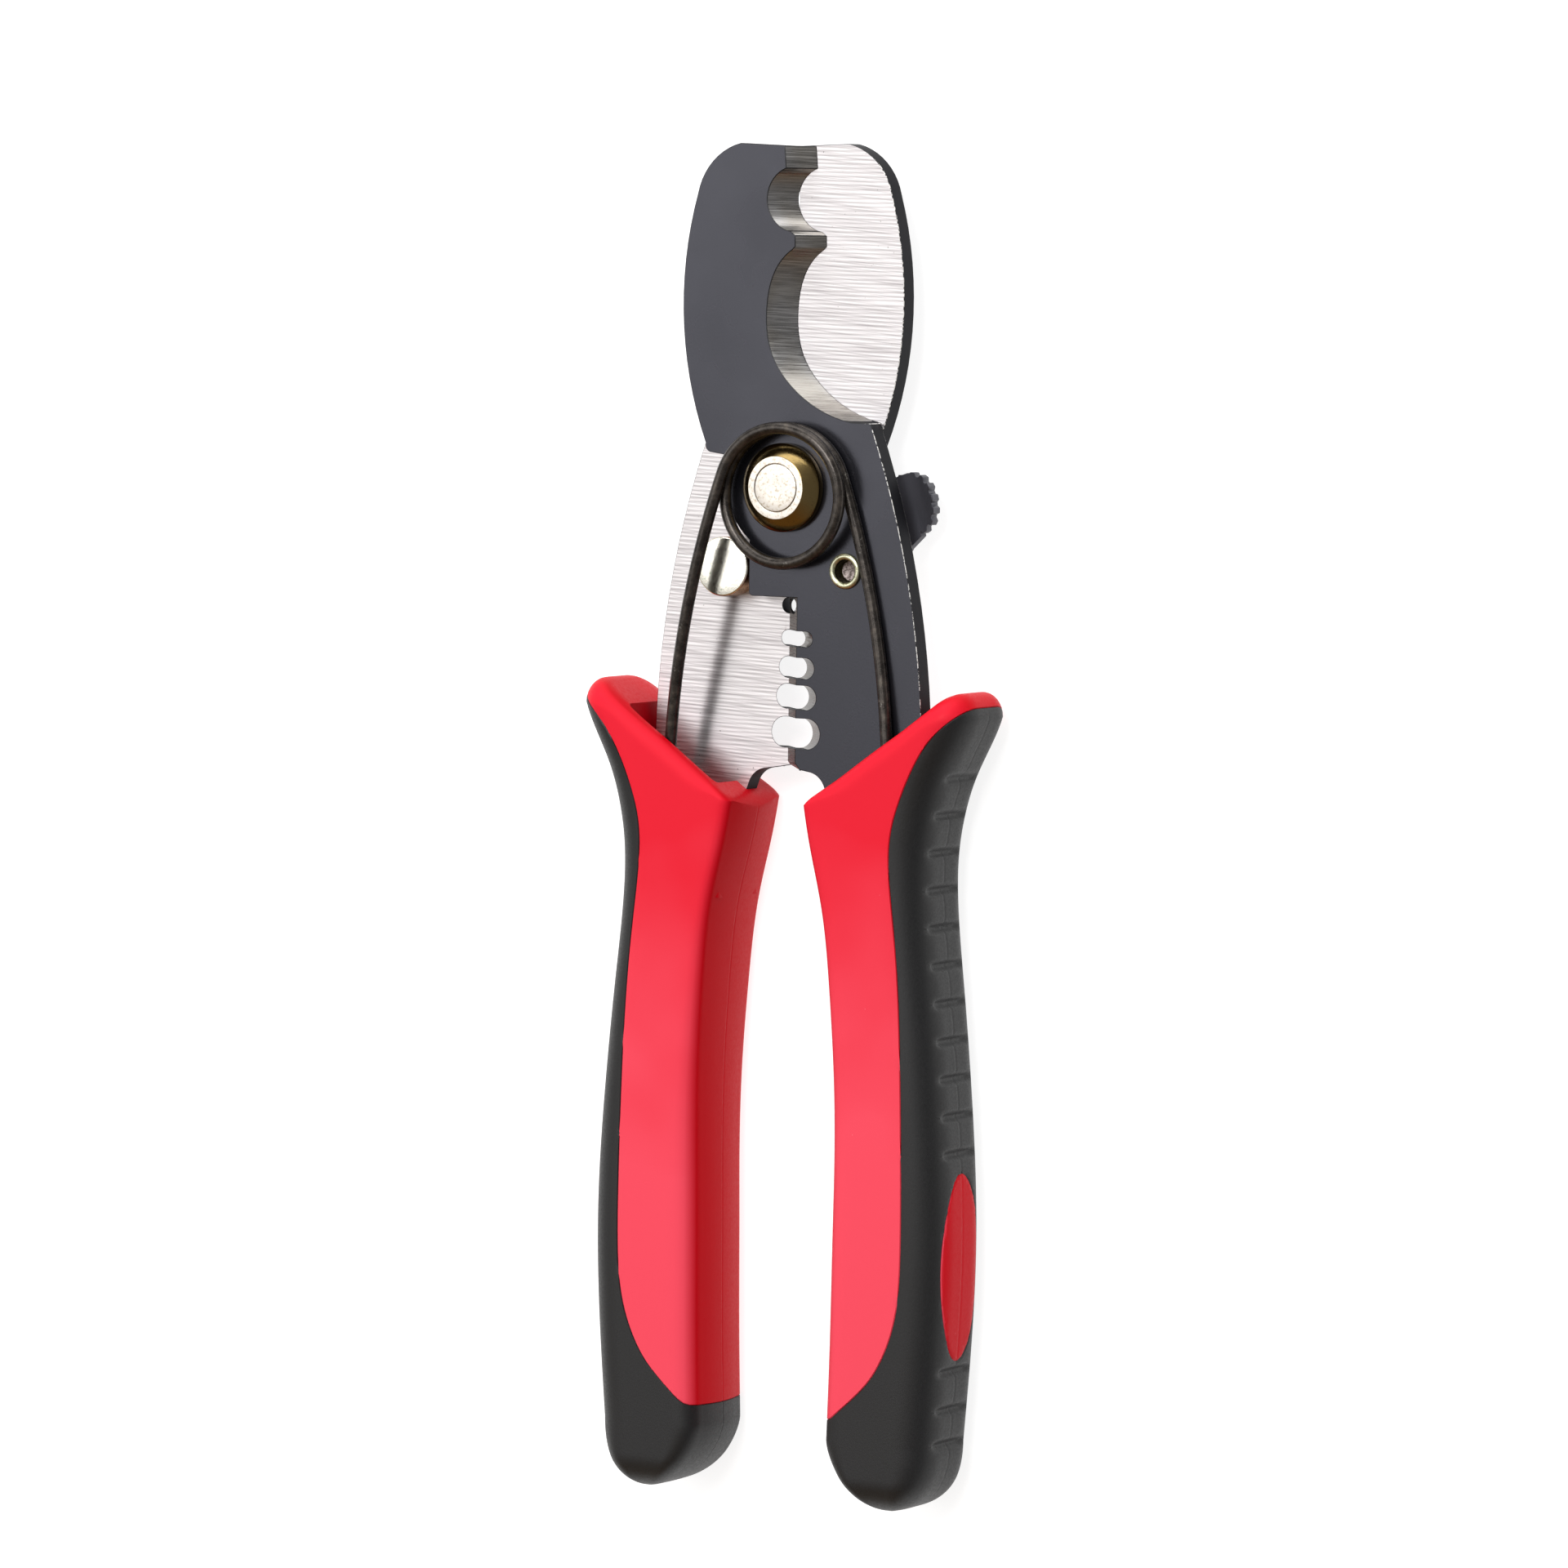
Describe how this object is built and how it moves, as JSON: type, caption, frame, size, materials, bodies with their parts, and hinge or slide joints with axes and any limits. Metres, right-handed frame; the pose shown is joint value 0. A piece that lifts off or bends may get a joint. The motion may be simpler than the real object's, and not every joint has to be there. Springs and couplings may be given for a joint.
{
  "type": "wire stripper",
  "caption": "Flat crossed-blade hand wire stripper with cable-cutting jaws, graded stripping notches, a torsion spring, a lock lever and two-part moulded handles.",
  "frame": {"origin": "middle of the tool's width and length, on the surface that it lies on", "axes": "+Y along the tool towards the jaws, +X towards the right handle, +Z out of the front face, which carries the pivot nut and the spring"},
  "size_m": [0.0664, 0.2, 0.0164],
  "materials": {
    "blade_front": "satin black oxide with ground edges",
    "blade_rear": "fine ground steel",
    "pivot_steel": "polished, lightly speckled",
    "washer_steel": "plain zinc plated",
    "spring_wire": "oil tempered wire",
    "pin_steel": "polished",
    "lever_black": "black oxide",
    "rivet_zinc": "zinc plated, rolled over",
    "handle_red": "fine moulded grain",
    "grip_black": "soft thermoplastic rubber, matt"
  },
  "bodies": {
    "rear_half": {"rear_blade": "blade_rear", "left_handle_core": "handle_red", "left_handle_grip": "grip_black", "stop_pin": "pin_steel", "pivot_bolt": "pivot_steel", "pivot_nut": "pivot_steel", "pivot_washer": "washer_steel", "return_spring": "spring_wire"},
    "front_half": {"front_blade": "blade_front", "right_handle_core": "handle_red", "right_handle_grip": "grip_black", "lever_rivet": "rivet_zinc", "lever_spacer": "washer_steel", "lever_washer": "washer_steel"},
    "lever": {"lock_lever": "lever_black"}
  },
  "joints": [
    {"name": "pivot_hinge", "type": "hinge", "parent": "rear_half", "child": "front_half", "pos_m": [0, 0.04965, 0], "axis": [0, 0, 1], "range_deg": [0, 28], "stiffness_Nm_per_rad": 0.86, "springref_deg": 28, "deforming": ["return_spring"]},
    {"name": "lever_hinge", "type": "hinge", "parent": "front_half", "child": "lever", "pos_m": [0.01045, 0.0377, 0], "axis": [0, 0, 1], "range_deg": [-10, 0]}
  ]
}
